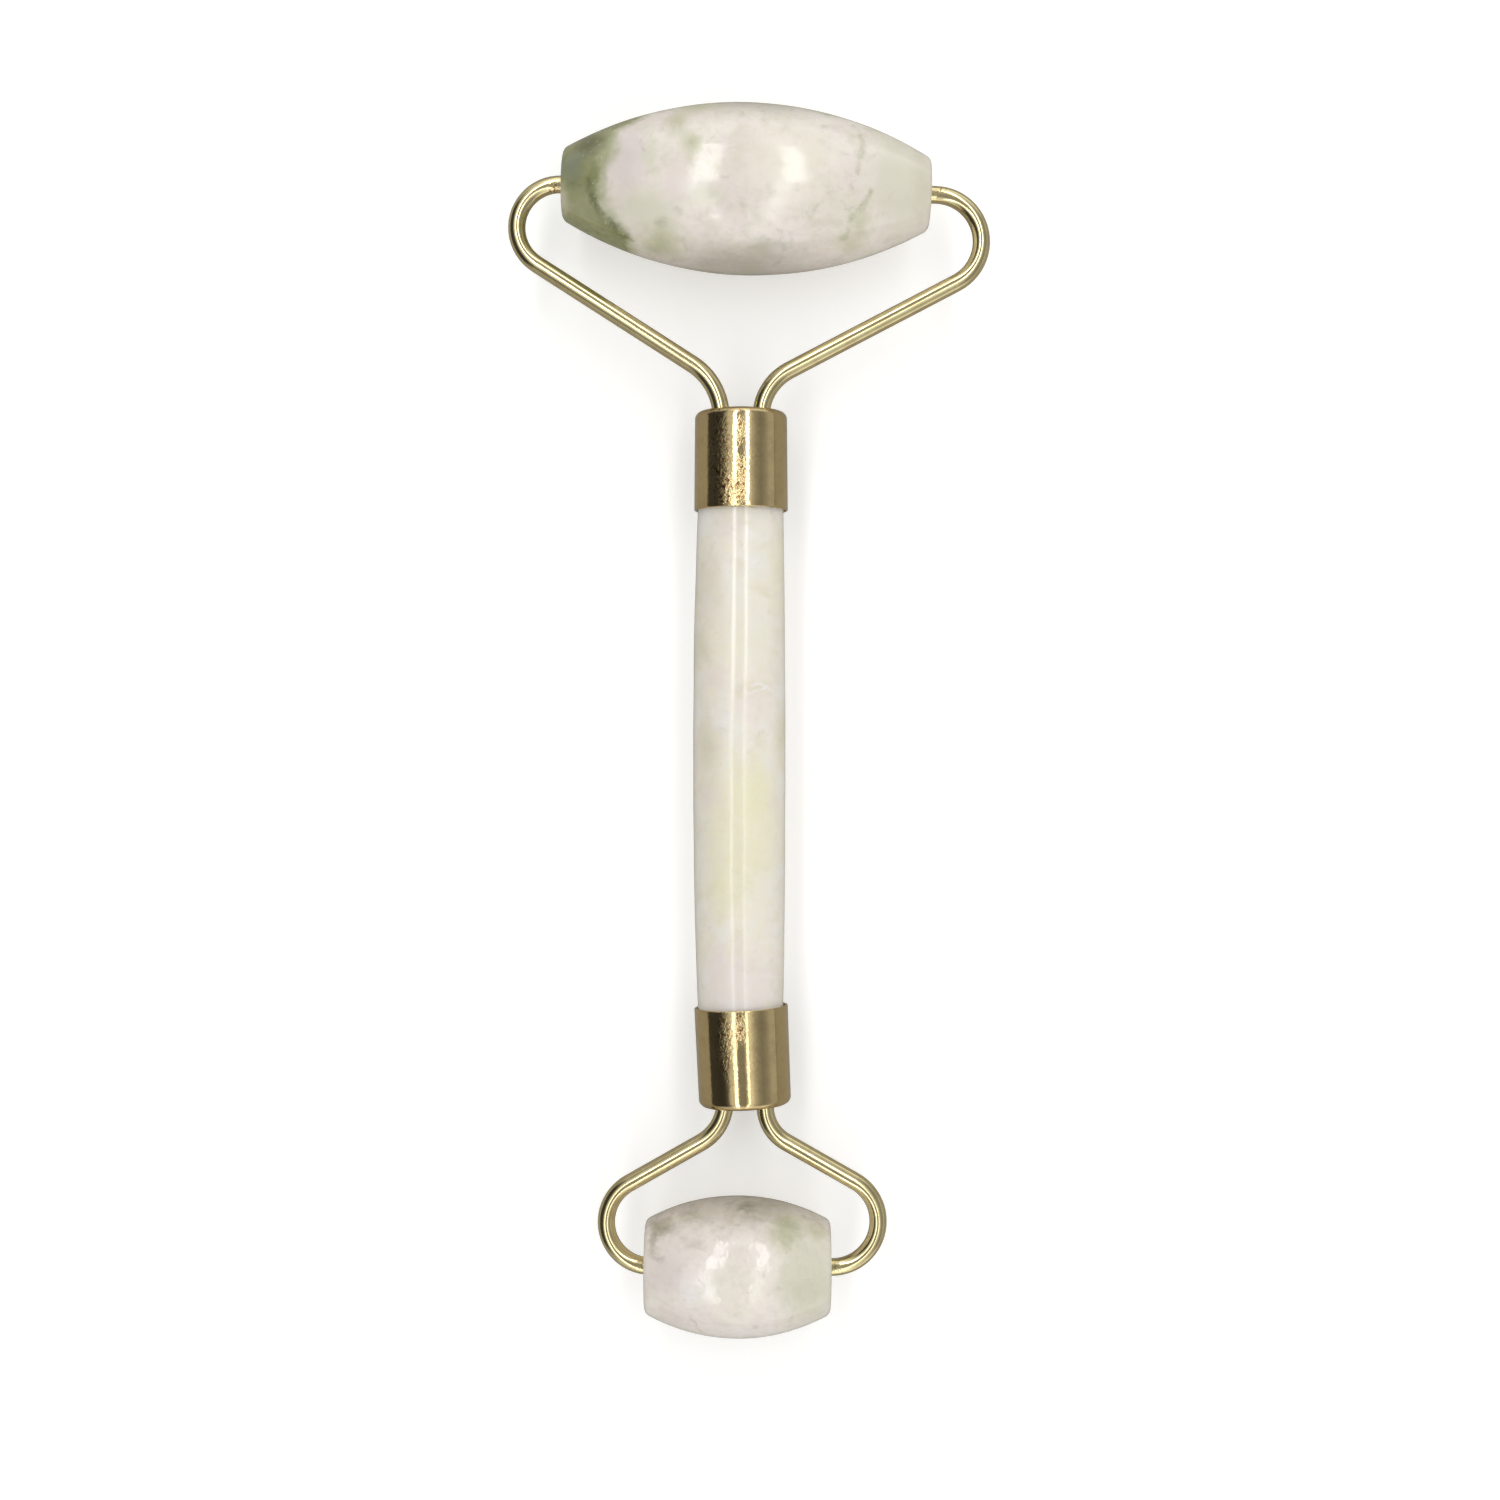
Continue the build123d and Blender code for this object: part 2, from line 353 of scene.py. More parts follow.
def make_plating():
    """Bright plate over rough metal: fine grain, flecks where the plate is thin, and dull smears."""
    group, given, out = node_group(
        "plated grain",
        [("Place", "Vector", (0, 0, 0)), ("Grain", "Float", 2.6), ("Gloss", "Float", 0.13),
         ("Wear", "Float", 0.5)],
        [("Height", "Float"), ("Roughness", "Float"), ("Thin", "Float")])
    grain = cloud_noise(group, given["Place"], given["Grain"], 3.0, 0.6)
    smear = cloud_noise(group, given["Place"], 0.4, 3.0, 0.5)
    rubbed_and_tinted = calc(group, "ADD", ramp(group, smear, 0.4, 0.65, 0.0, 0.12), given["Wear"], clamp=True)
    centred = calc(group, "SUBTRACT", grain, 0.5)
    group.links.new(calc(group, "MULTIPLY", centred, rubbed_and_tinted), out["Height"])
    dull = calc(group, "MULTIPLY", rubbed_and_tinted, 0.05)
    group.links.new(calc(group, "ADD", given["Gloss"], dull), out["Roughness"])
    specks = ramp(group, grain, 0.52, 0.62)
    mottle = cloud_noise(group, given["Place"], 0.6, 4.0, 0.6)
    stain = ramp(group, mottle, 0.42, 0.66, 0.0, 0.16)
    group.links.new(calc(group, "MAXIMUM", calc(group, "MULTIPLY", specks, rubbed_and_tinted), stain), out["Thin"])
    return group


RAGGED = make_ragged()
CLOUDS = make_clouds()
PATCH = make_patch()
STROKE = make_stroke()
BROKEN = make_broken()
FLECKS = make_flecks()
POLISH = make_polish()
PLATING = make_plating()


# ---------------------------------------------------------------- materials

# Jade, from the palest ivory to the moss green end and the smoky smudges, then plate and paper. Smoke and
# dusk also serve as painted shade along the stones' flanks.
IVORY = srgb(248, 241, 231)
CREAM = srgb(247, 240, 224)
MILK = srgb(252, 246, 242)
ROSE = srgb(240, 228, 222)
LILAC = srgb(234, 222, 220)
MIST = srgb(229, 226, 207)
SAGE = srgb(206, 205, 172)
LIME = srgb(243, 240, 210)
MOSS = srgb(172, 175, 134)
OLIVE = srgb(148, 151, 108)
FOREST = srgb(106, 110, 78)
SLATE = srgb(142, 147, 124)
HAY = srgb(206, 200, 174)
SMOKE_AND_SHADE = srgb(150, 146, 128)
DUSK_AND_SHADE = srgb(142, 132, 102)
GOLD = srgb(220, 198, 146)
WIRE_GOLD = srgb(230, 216, 166)
BRONZE = srgb(132, 84, 48)
PAPER = srgb(246, 246, 244)
PAPER_REFLECTED = srgb(172, 168, 160)


def new_material(name):
    """A material with its node tree and its Principled shader."""
    material = bpy.data.materials.new(name)
    material.use_nodes = True
    tree = material.node_tree
    shader = tree.nodes["Principled BSDF"]
    return material, tree, shader


def place_in_mm(tree, middle, turn=0.0):
    """Object coordinates in millimetres from a piece's middle, squared up to its own axis."""
    coordinates = add(tree, "ShaderNodeTexCoord").outputs["Object"]
    mapping = add(tree, "ShaderNodeMapping", {"Vector": coordinates}, vector_type="TEXTURE")
    mapping.inputs["Location"].default_value = middle
    mapping.inputs["Rotation"].default_value = (0, 0, turn)
    mapping.inputs["Scale"].default_value = (MM, MM, MM)
    return mapping.outputs["Vector"]


class Jade:
    """Polished jade, built up as layers of colour. Spots are (x, y) seen from above, in millimetres
    from the piece's middle, and every layer takes a tint and how strongly it covers."""

    def __init__(self, name, middle, along, widest, arc, ragged=0.6):
        self.material, self.tree, self.shader = new_material(name)
        crosswise = abs(along.x) > abs(along.y)
        level = Vector((along.x, along.y)) if crosswise else Vector((along.y, -along.x))
        self.place = place_in_mm(self.tree, middle, math.atan2(level.y, level.x))
        self.torn = place_group(self.tree, RAGGED, place=self.place, amount=ragged)["Place"]
        self.lengthwise = 0 if crosswise else 1
        self.widest = widest / MM
        self.arc = arc / MM
        self.colour = IVORY

    def on_top(self, spot):
        """The point of the upper surface over a spot seen from above."""
        along, across = spot[self.lengthwise], spot[1 - self.lengthwise]
        radius = arc_radius_at(along, self.widest, self.arc)
        return (spot[0], spot[1], math.sqrt(max(radius ** 2 - across ** 2, 0.0)))

    def lay(self, tint, mask, share):
        """Lays a tint over what is there already."""
        amount = calc(self.tree, "MULTIPLY", mask, share)
        self.colour = blend_colours(self.tree, amount, self.colour, tint)

    def towards_y(self, start, end):
        """A torn mask that grows towards +Y between two places."""
        parts = add(self.tree, "ShaderNodeSeparateXYZ", {"Vector": self.torn}).outputs
        return ramp(self.tree, parts["Y"], start, end)

    def clouds(self, tint, share, size, cover, seed, softness=0.12, within=None):
        """Drifting clouds of one size all over the piece, or only within a mask."""
        mask = place_group(self.tree, CLOUDS, place=self.place, size=size, cover=cover, seed=seed,
                           softness=softness)["Mask"]
        if within is not None:
            mask = calc(self.tree, "MULTIPLY", mask, within)
        self.lay(tint, mask, share)

    def patch(self, tint, share, spot, reach, core=0.2):
        """One torn patch on the upper side, half as deep again as it is wide. Core is its solid share."""
        depth = 1.5 * max(reach)
        mask = place_group(self.tree, PATCH, place=self.torn, middle=self.on_top(spot),
                           reach=(*reach, depth), core=core)["Mask"]
        self.lay(tint, mask, share)

    def vein(self, tint, share, spots, width):
        """A broken vein from spot to spot over the upper side."""
        distance = VEIN_FAR
        for start, end in zip(spots, spots[1:]):
            distance = place_group(self.tree, STROKE, place=self.torn, start=self.on_top(start),
                                   end=self.on_top(end), before=distance)["Distance"]
        mask = place_group(self.tree, BROKEN, place=self.place, distance=distance, width=width)["Mask"]
        self.lay(tint, mask, share)

    def flecks(self, tint, share, size, cover, within=None):
        """Scattered crystals all over the piece, or only within a mask."""
        mask = place_group(self.tree, FLECKS, place=self.torn, size=size, cover=cover)["Mask"]
        if within is not None:
            mask = calc(self.tree, "MULTIPLY", mask, within)
        self.lay(tint, mask, share)

    def finish(self, gloss, wave, ripple, glow=0.35, glow_depth=1.0, bend=1.66):
        """Polishes the stone and lets light sink into it. Glow depth is in millimetres."""
        tree, shader = self.tree, self.shader
        polish = place_group(tree, POLISH, place=self.place, wave=wave, ripple=ripple, gloss=gloss)
        bump = add(tree, "ShaderNodeBump",
                   {"Height": polish["Height"], "Strength": 0.4, "Distance": JADE_BUMP})
        tree.links.new(self.colour, shader.inputs["Base Color"])
        tree.links.new(polish["Roughness"], shader.inputs["Roughness"])
        tree.links.new(bump.outputs["Normal"], shader.inputs["Normal"])
        shader.inputs["IOR"].default_value = bend
        shader.inputs["Subsurface Weight"].default_value = glow
        shader.inputs["Subsurface Radius"].default_value = (1.0, 0.9, 0.7)
        shader.inputs["Subsurface Scale"].default_value = glow_depth * MM
        return self.material


def large_stone_jade(*shape):
    """Rosy ivory with a moss end, a thin vein near the other end and green wisps on top, with painted
    shade along both long flanks and the lower edge.
    """
    stone = Jade("large_stone_jade", *shape)
    stone.clouds(ROSE, 0.7, size=9.0, cover=0.5, seed=1.0)
    stone.clouds(MIST, 0.6, size=6.0, cover=0.42, seed=2.0)
    stone.clouds(SMOKE_AND_SHADE, 0.22, size=2.2, cover=0.38, seed=3.0, softness=0.08)
    stone.clouds(SAGE, 0.3, size=3.0, cover=0.42, seed=17.0)
    stone.clouds(SMOKE_AND_SHADE, 0.08, size=1.1, cover=0.45, seed=10.0)
    # Painted shade: smoky grey along both long flanks, darker where the light falls off towards the sides
    stone.patch(SMOKE_AND_SHADE, 0.55, (0.0, -9.6), (15.0, 2.8), core=0.0)
    stone.patch(SMOKE_AND_SHADE, 0.55, (0.0, 9.6), (15.0, 4.2), core=0.0)
    stone.patch(CREAM, 0.7, (4.5, 1.0), (8.0, 7.0))
    stone.patch(LILAC, 0.8, (-13.3, 1.5), (3.2, 6.0))
    stone.patch(ROSE, 0.7, (-8.0, -1.5), (2.4, 4.5))
    stone.patch(MIST, 0.9, (-11.5, -4.5), (5.5, 3.2))
    # Partly the stone's grey-green cloud and partly painted shade darkening the lower left edge
    stone.patch(SAGE, 0.8, (-9.5, -7.0), (3.6, 2.2), core=0.0)
    stone.patch(MOSS, 0.6, (-10.0, -8.0), (4.5, 1.4), core=0.0)
    stone.patch(SAGE, 0.8, (-6.5, 2.8), (2.2, 3.0), core=0.1)
    stone.patch(MIST, 0.9, (-10.8, 1.5), (1.6, 3.0))
    stone.patch(MIST, 0.8, (-4.5, -3.4), (3.0, 2.0))
    stone.patch(SAGE, 0.8, (-8.0, 5.8), (2.2, 3.0), core=0.0)
    stone.patch(SAGE, 0.8, (-6.0, 8.2), (4.0, 2.4), core=0.0)
    stone.vein(SMOKE_AND_SHADE, 0.25, [(-12.0, 3.4), (-11.6, 2.0), (-10.6, 1.0)], 0.5)
    stone.patch(SMOKE_AND_SHADE, 0.35, (-9.6, -5.9), (1.2, 0.8), core=0.0)
    stone.patch(SMOKE_AND_SHADE, 0.25, (-7.8, -4.9), (1.0, 0.7), core=0.0)
    stone.patch(SMOKE_AND_SHADE, 0.25, (-4.0, -4.9), (1.1, 0.7), core=0.0)
    stone.patch(MOSS, 0.35, (-6.2, 3.0), (0.8, 1.1), core=0.0)
    stone.patch(MIST, 0.8, (18.0, 0.5), (5.6, 9.0), core=0.35)
    stone.patch(HAY, 0.35, (20.5, 0.0), (2.4, 6.0), core=0.0)
    stone.vein(MOSS, 0.4, [(12.2, 6.5), (13.0, 3.5), (13.2, 1.6), (12.7, 0.2)], 0.6)
    stone.vein(MOSS, 0.6, [(14.1, -2.0), (13.4, -3.6), (12.2, -5.0), (11.2, -6.8)], 0.8)
    stone.patch(SAGE, 0.6, (13.2, -5.4), (2.2, 2.6), core=0.0)
    stone.patch(SAGE, 0.6, (12.0, -7.0), (3.4, 1.6), core=0.0)
    stone.patch(MOSS, 0.5, (9.5, 8.0), (2.2, 1.0), core=0.0)
    # Painted shade: darker along the lower edge
    stone.patch(SMOKE_AND_SHADE, 0.2, (2.5, -8.0), (3.5, 1.2), core=0.0)
    moss_end(stone)
    return stone.finish(gloss=0.09, wave=0.5, ripple=0.35)


def moss_end(stone):
    """The green end of the large stone, behind a hollow torn border with pale crystals along it."""
    tree = stone.tree
    parts = add(tree, "ShaderNodeSeparateXYZ", {"Vector": stone.torn}).outputs
    curl = calc(tree, "MULTIPLY", calc(tree, "POWER", parts["Y"], 4.0), MOSS_BORDER_CURL)
    slant = calc(tree, "MULTIPLY", parts["Y"], MOSS_BORDER_SLANT)
    border = calc(tree, "ADD", calc(tree, "MINIMUM", curl, MOSS_BORDER_CURL_MOST), slant)
    depth = calc(tree, "SUBTRACT", calc(tree, "SUBTRACT", border, MOSS_BORDER), parts["X"])
    edge = ramp(tree, depth, -0.35, 0.55)
    stone.lay(MOSS, ramp(tree, depth, -1.9, 0.1), 0.75)
    stone.lay(OLIVE, edge, 1.0)
    stone.clouds(HAY, 0.2, size=2.5, cover=0.45, seed=12.0, within=edge)
    stone.clouds(FOREST, 0.4, size=1.6, cover=0.4, seed=13.0, within=edge)
    stone.patch(MOSS, 0.8, (-16.3, 2.6), (2.2, 3.8), core=0.25)
    stone.patch(FOREST, 0.8, (-18.4, 3.6), (3.0, 3.0), core=0.1)
    stone.patch(HAY, 0.25, (-19.0, -3.4), (3.0, 3.0), core=0.0)
    stone.patch(SLATE, 0.9, (-20.2, 1.0), (2.2, 3.0), core=0.1)
    stone.patch(HAY, 0.9, (-21.6, -2.6), (2.0, 2.6))
    stone.vein(FOREST, 0.6, [(-18.1, -1.0), (-17.6, -3.2), (-16.4, -4.9), (-13.4, -6.9)], 0.9)
    near = calc(tree, "MULTIPLY", ramp(tree, depth, -1.6, -0.2), ramp(tree, depth, 1.6, 0.4))
    stone.flecks(MIST, 0.3, size=0.45, cover=0.35, within=near)
    stone.flecks(MILK, 0.18, size=0.5, cover=0.03)


def small_stone_jade(*shape):
    """Rosy white, misty green towards one end, with smoky smudges over its top, painted shade darkening
    the top band and painted light brightening the bottom.
    """
    stone = Jade("small_stone_jade", *shape, ragged=1.0)
    stone.clouds(ROSE, 0.6, size=7.0, cover=0.5, seed=4.0)
    stone.clouds(MIST, 0.5, size=4.0, cover=0.4, seed=5.0)
    stone.patch(LILAC, 0.6, (-8.0, 0.5), (4.0, 4.0), core=0.0)
    stone.patch(MILK, 0.6, (-5.0, -1.5), (3.0, 4.0), core=0.0)
    stone.patch(ROSE, 0.8, (-7.0, -5.0), (3.0, 2.0))
    stone.patch(CREAM, 0.6, (0.0, -2.0), (4.5, 5.0))
    stone.patch(MIST, 0.9, (8.2, 0.0), (5.4, 9.0), core=0.3)
    stone.patch(SAGE, 0.3, (8.0, -1.5), (4.4, 4.0), core=0.0)
    # Painted light: a pale band brightening the bottom side
    stone.patch(MILK, 0.5, (0.0, -7.0), (9.0, 3.4), core=0.0)
    # Painted shade: the whole top band darker towards +Y, with mottled clouds and a smoky patch in it
    stone.lay(DUSK_AND_SHADE, stone.towards_y(3.5, 8.5), 0.4)
    stone.clouds(DUSK_AND_SHADE, 0.28, size=1.6, cover=0.42, seed=16.0, within=stone.towards_y(3.0, 6.5))
    stone.patch(SMOKE_AND_SHADE, 0.45, (2.8, 7.6), (5.0, 2.2), core=0.0)
    stone.patch(SAGE, 0.8, (5.0, 4.9), (3.2, 2.4), core=0.0)
    stone.patch(MOSS, 0.6, (5.8, 5.7), (3.0, 2.2), core=0.0)
    stone.patch(SAGE, 0.7, (9.2, 4.8), (2.4, 1.4), core=0.0)
    stone.patch(FOREST, 0.4, (0.9, 7.5), (1.5, 1.0), core=0.0)
    stone.patch(DUSK_AND_SHADE, 0.6, (-9.2, 5.2), (2.6, 1.4), core=0.0)
    stone.patch(DUSK_AND_SHADE, 0.5, (-9.7, 3.9), (1.2, 2.4), core=0.0)
    stone.patch(DUSK_AND_SHADE, 0.35, (-5.2, 6.6), (2.6, 1.2), core=0.0)
    stone.patch(DUSK_AND_SHADE, 0.25, (-5.0, 3.9), (2.0, 1.2), core=0.0)
    stone.patch(DUSK_AND_SHADE, 0.3, (-9.2, 2.0), (1.2, 0.8), core=0.0)
    stone.clouds(SMOKE_AND_SHADE, 0.25, size=1.8, cover=0.34, seed=6.0, softness=0.07)
    stone.clouds(SMOKE_AND_SHADE, 0.08, size=1.0, cover=0.45, seed=11.0)
    stone.vein(SMOKE_AND_SHADE, 0.3, [(-5.2, -4.4), (-4.7, -6.0), (-3.4, -7.2)], 0.5)
    stone.flecks(MILK, 0.25, size=0.6, cover=0.04)
    return stone.finish(gloss=0.09, wave=0.7, ripple=1.0)


def handle_jade(*shape):
    """Ivory, rosy at both ends and yellow-green along the middle, with a few white cracks."""
    stone = Jade("handle_jade", *shape)
    stone.clouds(CREAM, 0.7, size=8.0, cover=0.5, seed=7.0)
    stone.clouds(MIST, 0.35, size=5.0, cover=0.38, seed=8.0)
    stone.clouds(SAGE, 0.22, size=3.2, cover=0.42, seed=15.0)
    stone.clouds(MILK, 0.7, size=2.6, cover=0.42, seed=14.0)
    stone.patch(CREAM, 0.6, (1.0, 14.0), (5.0, 9.0))
    stone.patch(LIME, 0.6, (0.0, -8.0), (6.0, 13.0), core=0.3)
    stone.patch(LIME, 0.8, (1.8, -4.2), (3.2, 5.0), core=0.0)
    stone.patch(LIME, 0.6, (-2.4, -15.0), (2.6, 6.0), core=0.0)
    stone.patch(SAGE, 0.4, (-3.8, 1.2), (2.6, 5.0), core=0.0)
    stone.patch(SAGE, 0.3, (-3.8, 20.0), (2.6, 6.0), core=0.0)
    stone.patch(SAGE, 0.35, (-4.8, 13.0), (2.0, 4.0), core=0.0)
    stone.patch(LILAC, 0.4, (-3.6, -4.4), (2.2, 2.6), core=0.0)
    stone.patch(ROSE, 0.4, (3.8, -5.2), (1.8, 2.4), core=0.0)
    stone.patch(ROSE, 0.4, (1.5, 6.0), (4.0, 4.0), core=0.0)
    stone.patch(SAGE, 0.35, (4.8, 3.0), (1.8, 5.0), core=0.0)
    stone.patch(LIME, 0.5, (4.8, 22.0), (2.4, 8.0), core=0.0)
    stone.patch(LILAC, 0.4, (0.0, -26.0), (7.0, 6.5), core=0.2)
    stone.patch(ROSE, 0.6, (-1.0, 27.0), (3.0, 3.0), core=0.0)
    stone.patch(SAGE, 0.25, (0.0, 30.0), (6.0, 4.0), core=0.0)
    stone.patch(SAGE, 0.25, (1.0, 8.0), (4.5, 1.6), core=0.0)
    stone.vein(MILK, 1.0, [(-0.9, 8.3), (0.8, 7.4), (2.7, 7.9)], 0.35)
    stone.vein(MILK, 1.0, [(0.4, 8.1), (2.0, 8.6), (3.6, 7.6)], 0.3)
    stone.patch(ROSE, 0.5, (-3.0, 9.0), (2.4, 2.0), core=0.0)
    stone.clouds(SMOKE_AND_SHADE, 0.12, size=1.6, cover=0.33, seed=9.0, softness=0.07)
    stone.flecks(MILK, 0.3, size=0.7, cover=0.03)
    return stone.finish(gloss=0.09, wave=0.3, ripple=0.12, glow=0.9, glow_depth=2.5, bend=1.56)


def plated_gold(name, middle, wear_and_reflection_tint, tint=GOLD, gloss=0.06, wear=0.06, grain_depth=1.0):
    """Champagne-gold plate. Each spot of wear is (middle, reach) in millimetres, going towards bronze; on
    the ferrules these spots lie along the reflections and also paint a bronze tint into them.
    """
    material, tree, shader = new_material(name)
    place = place_in_mm(tree, middle)
    rubbed_and_tinted = wear
    for spot, reach in wear_and_reflection_tint:
        mask = place_group(tree, PATCH, place=place, middle=spot, reach=reach, core=0.2)["Mask"]
        rubbed_and_tinted = calc(tree, "ADD", rubbed_and_tinted, calc(tree, "MULTIPLY", mask, WEAR_AND_TINT_STRENGTH), clamp=True)
    plating = place_group(tree, PLATING, place=place, gloss=gloss, wear=rubbed_and_tinted)
    colour = blend_colours(tree, plating["Thin"], tint, BRONZE)
    bump = add(tree, "ShaderNodeBump",
               {"Height": plating["Height"], "Strength": grain_depth, "Distance": PLATE_BUMP})
    tree.links.new(colour, shader.inputs["Base Color"])
    tree.links.new(plating["Roughness"], shader.inputs["Roughness"])
    tree.links.new(bump.outputs["Normal"], shader.inputs["Normal"])
    shader.inputs["Metallic"].default_value = 1.0
    shader.inputs["Coat Weight"].default_value = 0.25
    return material


def plain_inner(name, colour, fleck, gloss, metallic=0.0):
    """Nylon, adhesive and braze, which show only down the bores: a colour with fine clouds in it."""
    material, tree, shader = new_material(name)
    place = place_in_mm(tree, (0, 0, 0))
    mask = place_group(tree, CLOUDS, place=place, size=0.8)["Mask"]
    polish = place_group(tree, POLISH, place=place, gloss=gloss)
    bump = add(tree, "ShaderNodeBump",
               {"Height": polish["Height"], "Strength": 0.3, "Distance": INNER_BUMP})
    tree.links.new(blend_colours(tree, mask, colour, fleck), shader.inputs["Base Color"])
    tree.links.new(polish["Roughness"], shader.inputs["Roughness"])
    tree.links.new(bump.outputs["Normal"], shader.inputs["Normal"])
    shader.inputs["Metallic"].default_value = metallic
    return material


# ---------------------------------------------------------------- turned pieces

def joint_line(name):
    """A joint's point and unit direction."""
    joint = next(j for j in frame["joints"] if j["name"] == name)
    return Vector(joint["pos_m"]), Vector(joint["axis"]).normalized()


def fork_plane_lean():
    """How far the plane of the two forks leans up towards +Y, in radians."""
    large, _ = joint_line("large_roller_spin")
    small, _ = joint_line("small_roller_spin")
    rise = Vector((0, large.y - small.y, large.z - small.z))
    return math.atan2(rise.z, rise.y)


def handle_line():
    """The handle's middle and its unit direction, which lies in the plane of the forks."""
    low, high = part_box("jade_handle")
    lean = fork_plane_lean()
    return (low + high) / 2, Vector((0, math.cos(lean), math.sin(lean)))


def barrel_sizes(name, middle, along):
    """Half length, middle radius, arc radius and bore radius of a CAD barrel about a line."""
    spots = []
    for vertex in frame["nodes"][name].data.vertices:
        offset = vertex.co - middle
        distance = offset.dot(along)
        spots.append((distance, (offset - distance * along).length))
    half = max(abs(distance) for distance, _ in spots)
    widest = max(radius for _, radius in spots)
    outer = [spot for spot in spots if SIDE_FROM * half < abs(spot[0]) < SIDE_TO * half]
    distance, radius = max(outer, key=lambda spot: spot[1])
    drop = widest - radius
    arc = (distance ** 2 + drop ** 2) / (2 * drop)
    return half, widest, arc, min(radius for _, radius in spots)


def arc_radius_at(distance, widest, arc):
    """The radius of a barrel at a distance from its middle."""
    return widest - arc + math.sqrt(arc ** 2 - distance ** 2)


def edge_round(half, widest, arc, edge):
    """The rounded corner between the barrel's side and its end face, from the side inwards."""
    middle = Vector((half - edge, 0))
    middle.y = math.sqrt((arc - edge) ** 2 - middle.x ** 2) + widest - arc
    slope = math.atan2(middle.y - (widest - arc), middle.x)
    turns = [slope * (1 - step / STONE_EDGE_RINGS) for step in range(STONE_EDGE_RINGS + 1)]
    return [(middle.x + edge * math.cos(turn), middle.y + edge * math.sin(turn)) for turn in turns]


def stone_outline(half, widest, arc, bore):
    """The closed outline of a bored barrel: side, end, bore and back, as (along, radius) points."""
    corner = edge_round(half, widest, arc, STONE_EDGE_RADIUS)
    shoulder = corner[0][0]
    side = [-shoulder + 2 * shoulder * step / STONE_RINGS for step in range(1, STONE_RINGS)]
    outline = [(-along, radius) for along, radius in reversed(corner)]
    outline += [(along, arc_radius_at(along, widest, arc)) for along in side]
    outline += corner
    mouth = [(half, bore + BORE_CHAMFER), (half - BORE_CHAMFER, bore)]
    outline += mouth
    outline += [(-along, radius) for along, radius in reversed(mouth)]
    return outline


def handle_outline(half, widest, arc):
    """The handle's outline from pole to pole."""
    shoulder = half - HANDLE_END_CHAMFER
    end = arc_radius_at(shoulder, widest, arc)
    side = [-shoulder + 2 * shoulder * step / STONE_RINGS for step in range(STONE_RINGS + 1)]
    outline = [(-half, 0.0), (-half, end - HANDLE_END_CHAMFER)]
    outline += [(along, arc_radius_at(along, widest, arc)) for along in side]
    return outline + [(half, end - HANDLE_END_CHAMFER), (half, 0.0)]


def make_lathe():
    """Turns an outline, drawn as (radius from the rod, along), round the rod and sets it in place."""
    group, given, out = node_group(
        "lathe",
        [("Outline", "Geometry", None), ("Segments", "Int", STONE_SEGMENTS),
         ("Rod radius", "Float", LATHE_ROD), ("Weld", "Float", LATHE_WELD),
         ("Middle", "Vector", (0, 0, 0)), ("Turn", "Vector", (0, 0, 0)), ("Stone", "Material", None)],
        [("Piece", "Geometry")], tree_kind="GeometryNodeTree")
    outline = add(group, "GeometryNodeMeshToCurve", {"Mesh": given["Outline"]})
    rod = add(group, "GeometryNodeCurvePrimitiveCircle",
              {"Resolution": given["Segments"], "Radius": given["Rod radius"]})
    turned = add(group, "GeometryNodeCurveToMesh",
                 {"Curve": rod.outputs["Curve"], "Profile Curve": outline.outputs["Curve"]})
    welded = add(group, "GeometryNodeMergeByDistance",
                 {"Geometry": turned.outputs["Mesh"], "Distance": given["Weld"]})
    placed = add(group, "GeometryNodeTransform",
                 {"Geometry": welded.outputs["Geometry"], "Translation": given["Middle"],
                  "Rotation": given["Turn"]})
    real = add(group, "GeometryNodeRealizeInstances", {"Geometry": placed.outputs["Geometry"]})
    dressed = add(group, "GeometryNodeSetMaterial",
                  {"Geometry": real.outputs["Geometry"], "Material": given["Stone"]})
    group.links.new(dressed.outputs["Geometry"], out["Piece"])
    return group


LATHE = make_lathe()


def turned_mesh(name, outline, closed, settings):
    """Runs the lathe on an outline of (along, radius) points and returns the plain mesh it makes."""
    blank_mesh = bpy.data.meshes.new(f"{name}_outline")
    points = [(radius - LATHE_ROD, along, 0) for along, radius in outline]
    edges = [(index, index + 1) for index in range(len(points) - 1)]
    if closed:
        edges.append((len(points) - 1, 0))
    blank_mesh.from_pydata(points, edges, [])
    blank = bpy.data.objects.new(f"{name}_blank", blank_mesh)
    bpy.context.scene.collection.objects.link(blank)
    lathe = blank.modifiers.new("lathe", "NODES")
    lathe.node_group = LATHE
    for socket in LATHE.interface.items_tree:
        if socket.name in settings:
            lathe[socket.identifier] = settings[socket.name]
    finished = blank.evaluated_get(bpy.context.evaluated_depsgraph_get())
    mesh = bpy.data.meshes.new_from_object(finished)
    mesh.name = name
    bpy.data.objects.remove(blank)
    bpy.data.meshes.remove(blank_mesh)
    return mesh


def work_by_hand(mesh, middle, along, half, widest, bow):
    """Gives a turned mesh the faint flats of hand cutting on its outside, and bows it towards -X."""
    for vertex in mesh.vertices:
        offset = vertex.co - middle
        distance = offset.dot(along)
        outward = offset - distance * along
        spot = vertex.co.copy()
        if outward.length > OUTSIDE_FROM * widest:
            cut = HAND_CUT_DEPTH * noise.noise(spot / HAND_CUT_WIDTH)
            spot += outward.normalized() * cut
        spot.x -= bow * (1 - (distance / half) ** 2)
        vertex.co = spot


def face_outwards(mesh):
    """Turns every face of a closed mesh outwards."""
    shell = bmesh.new()
    shell.from_mesh(mesh)
    bmesh.ops.recalc_face_normals(shell, faces=shell.faces)
    shell.to_mesh(mesh)
    shell.free()


